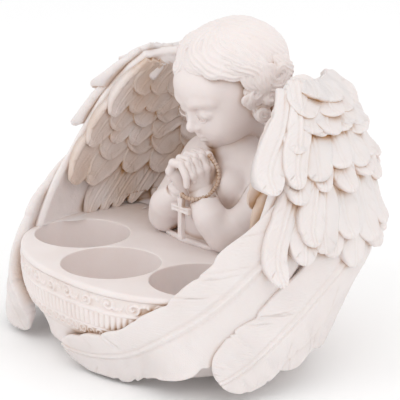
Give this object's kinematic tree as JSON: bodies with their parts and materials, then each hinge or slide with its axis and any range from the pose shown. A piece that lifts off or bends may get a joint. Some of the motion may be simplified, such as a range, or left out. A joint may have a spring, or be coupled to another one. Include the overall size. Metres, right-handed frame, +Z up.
{
  "type": "cherub tealight holder",
  "caption": "Praying cherub whose feathered wings wrap round a bowl with sunken wells for tealight candles, cast in pale resin, with beads and a small cross at the folded hands.",
  "frame": {"origin": "centre of the foot's felt underside, on the table", "axes": "+Z up, the cherub faces -Y, its left wing is on +X"},
  "size_m": [0.1612, 0.1413, 0.1358],
  "materials": {
    "ivory_resin": "matt cast resin, ivory white with a warm wash in the recesses",
    "feather_resin": "matt cast resin, ivory white with a warm wash between the feathers",
    "skin_resin": "satin cast resin, polished smoother than the feathers",
    "felt": "thin pressed felt"
  },
  "bodies": {
    "root": {"bowl": "ivory_resin", "felt_base": "felt", "carved_band": "ivory_resin", "torso": "skin_resin", "waist_drape": "ivory_resin", "head": "skin_resin", "hair": "ivory_resin", "left_curls": "ivory_resin", "right_curls": "ivory_resin", "left_hand": "skin_resin", "right_hand": "skin_resin", "left_arm": "skin_resin", "right_arm": "skin_resin", "cross": "ivory_resin", "rosary": "ivory_resin", "left_wing_web": "feather_resin", "right_wing_web": "feather_resin", "left_flight_feather_1": "feather_resin", "right_flight_feather_1": "feather_resin", "left_flight_feather_2": "feather_resin", "right_flight_feather_2": "feather_resin", "left_flight_feather_3": "feather_resin", "right_flight_feather_3": "feather_resin", "left_flight_feather_4": "feather_resin", "right_flight_feather_4": "feather_resin", "left_flight_feather_5": "feather_resin", "right_flight_feather_5": "feather_resin", "left_flight_feather_6": "feather_resin", "right_flight_feather_6": "feather_resin", "left_flight_feather_7": "feather_resin", "right_flight_feather_7": "feather_resin", "left_lower_coverts": "feather_resin", "right_lower_coverts": "feather_resin", "left_middle_coverts": "feather_resin", "right_middle_coverts": "feather_resin", "left_upper_coverts": "feather_resin", "right_upper_coverts": "feather_resin", "left_wrist_coverts": "feather_resin", "right_wrist_coverts": "feather_resin", "left_inner_long_coverts": "feather_resin", "right_inner_long_coverts": "feather_resin", "left_inner_lower_coverts": "feather_resin", "right_inner_lower_coverts": "feather_resin", "left_inner_middle_coverts": "feather_resin", "right_inner_middle_coverts": "feather_resin", "left_inner_upper_coverts": "feather_resin", "right_inner_upper_coverts": "feather_resin"}
  },
  "joints": []
}
